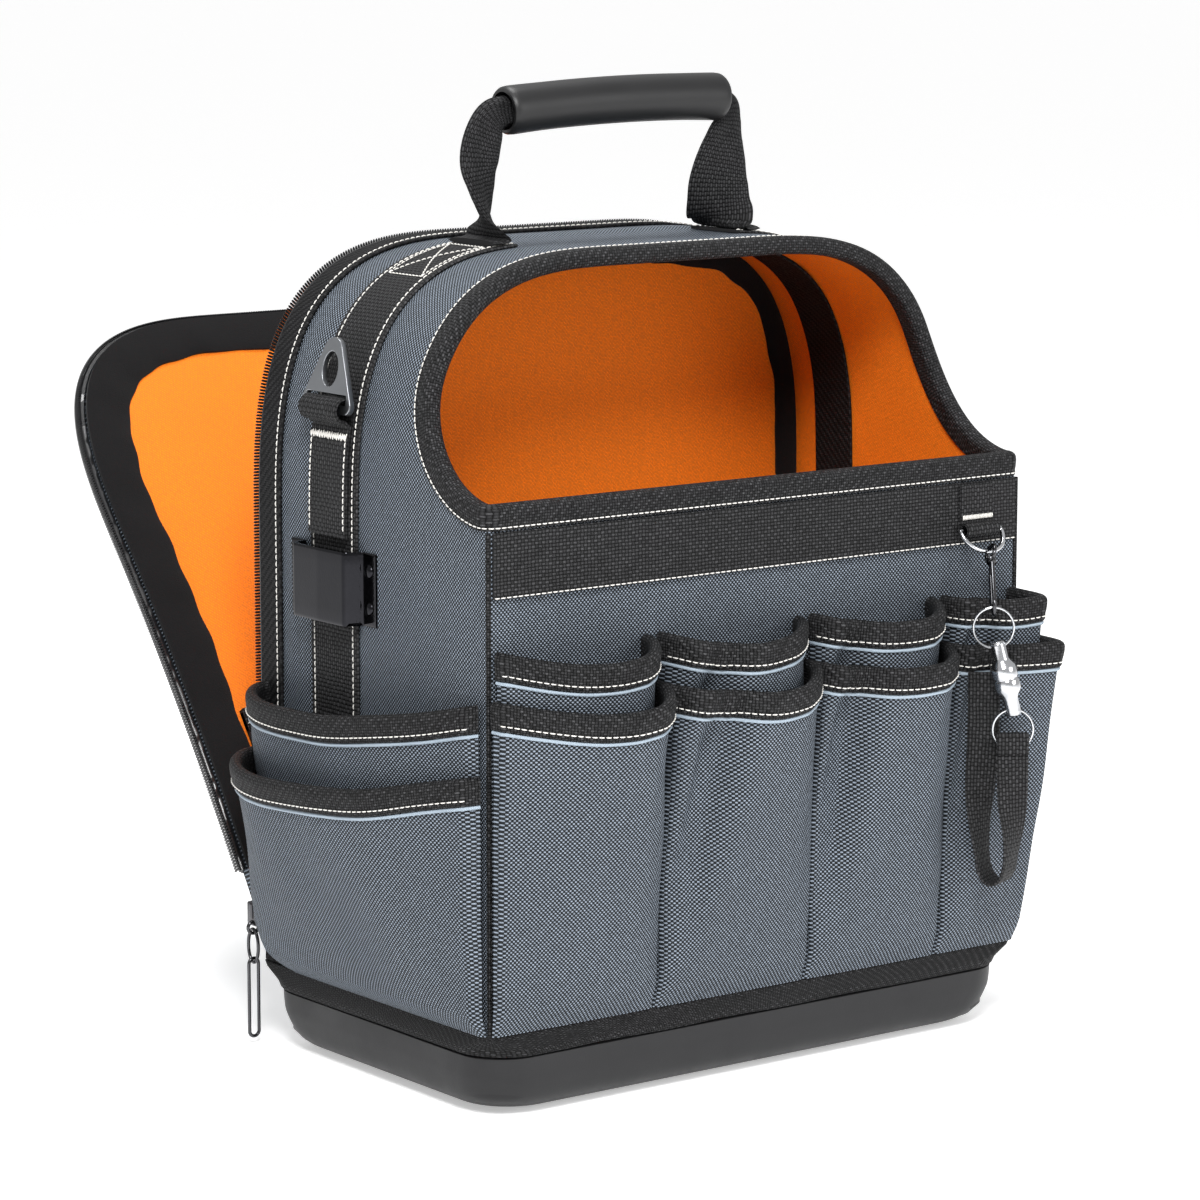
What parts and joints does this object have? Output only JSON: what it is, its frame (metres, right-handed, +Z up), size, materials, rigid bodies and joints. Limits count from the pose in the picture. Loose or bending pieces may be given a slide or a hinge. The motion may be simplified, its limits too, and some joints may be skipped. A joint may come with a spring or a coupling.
{
  "type": "tool tote",
  "caption": "Open top fabric tool tote with an arched back, padded grip handle, layered outside pockets, moulded base and an unzipped back flap.",
  "frame": {"origin": "centre of the underside of the moulded base", "axes": "+X to the right as seen from the front, +Y to the back where the flap opens, +Z up"},
  "size_m": [0.413, 0.4694, 0.4803],
  "materials": {
    "slate_fabric": "coarse woven oxford cloth, matte",
    "black_webbing": "ribbed webbing, matte",
    "orange_lining": "fine twill, matte",
    "base_tub": "moulded, matte",
    "grip": "smooth, satin",
    "pewter": "cast, satin",
    "gunmetal": "black chrome, gloss",
    "chrome": "bright, gloss"
  },
  "bodies": {
    "bag": {"base_tub": "base_tub", "floor_panel": "orange_lining", "base_binding": "black_webbing", "front_wall": "slate_fabric", "gusset_band": "slate_fabric", "rim_binding": "black_webbing", "front_webbing": "black_webbing", "divider_panel": "orange_lining", "divider_binding": "black_webbing", "gusset_tape": "black_webbing", "body_zip_tape": "black_webbing", "body_zip_coil": "black_webbing", "flap_panel": "orange_lining", "flap_binding": "black_webbing", "flap_zip_coil": "black_webbing", "flap_pocket_upper": "black_webbing", "flap_pocket_lower": "black_webbing", "front_pocket_1_inner": "slate_fabric", "front_pocket_1_inner_binding": "black_webbing", "front_pocket_1_outer": "slate_fabric", "front_pocket_1_outer_binding": "black_webbing", "front_pocket_2_inner": "slate_fabric", "front_pocket_2_inner_binding": "black_webbing", "front_pocket_2_outer": "slate_fabric", "front_pocket_2_outer_binding": "black_webbing", "front_pocket_3_inner": "slate_fabric", "front_pocket_3_inner_binding": "black_webbing", "front_pocket_3_outer": "slate_fabric", "front_pocket_3_outer_binding": "black_webbing", "front_pocket_4_inner": "slate_fabric", "front_pocket_4_inner_binding": "black_webbing", "front_pocket_4_outer": "slate_fabric", "front_pocket_4_outer_binding": "black_webbing", "side_pocket_left_inner": "slate_fabric", "side_pocket_left_inner_binding": "black_webbing", "side_pocket_left_outer": "slate_fabric", "side_pocket_left_outer_binding": "black_webbing", "side_pocket_right_inner": "slate_fabric", "side_pocket_right_inner_binding": "black_webbing", "side_pocket_right_outer": "slate_fabric", "side_pocket_right_outer_binding": "black_webbing", "side_strap_left": "black_webbing", "side_strap_right": "black_webbing", "ring_loop_left": "black_webbing", "ring_loop_right": "black_webbing", "tape_clip": "gunmetal", "handle_strap": "black_webbing", "handle_grip": "grip", "zip_slider": "gunmetal", "zip_ring": "gunmetal", "zip_pull": "gunmetal", "tab": "black_webbing", "tab_ring": "chrome", "snap_hook": "gunmetal", "split_ring_upper": "chrome", "magnet": "chrome", "split_ring_lower": "chrome", "tape_strap": "black_webbing"},
    "left_ring": {"strap_ring_left": "pewter"},
    "right_ring": {"strap_ring_right": "pewter"}
  },
  "joints": [
    {"name": "left_ring_hinge", "type": "hinge", "parent": "bag", "child": "left_ring", "pos_m": [-0.16763, 0.0285, 0.32666], "axis": [0, -1, 0], "range_deg": [0, 150]},
    {"name": "right_ring_hinge", "type": "hinge", "parent": "bag", "child": "right_ring", "pos_m": [0.16763, 0.0285, 0.32666], "axis": [0, 1, 0], "range_deg": [0, 150]}
  ]
}
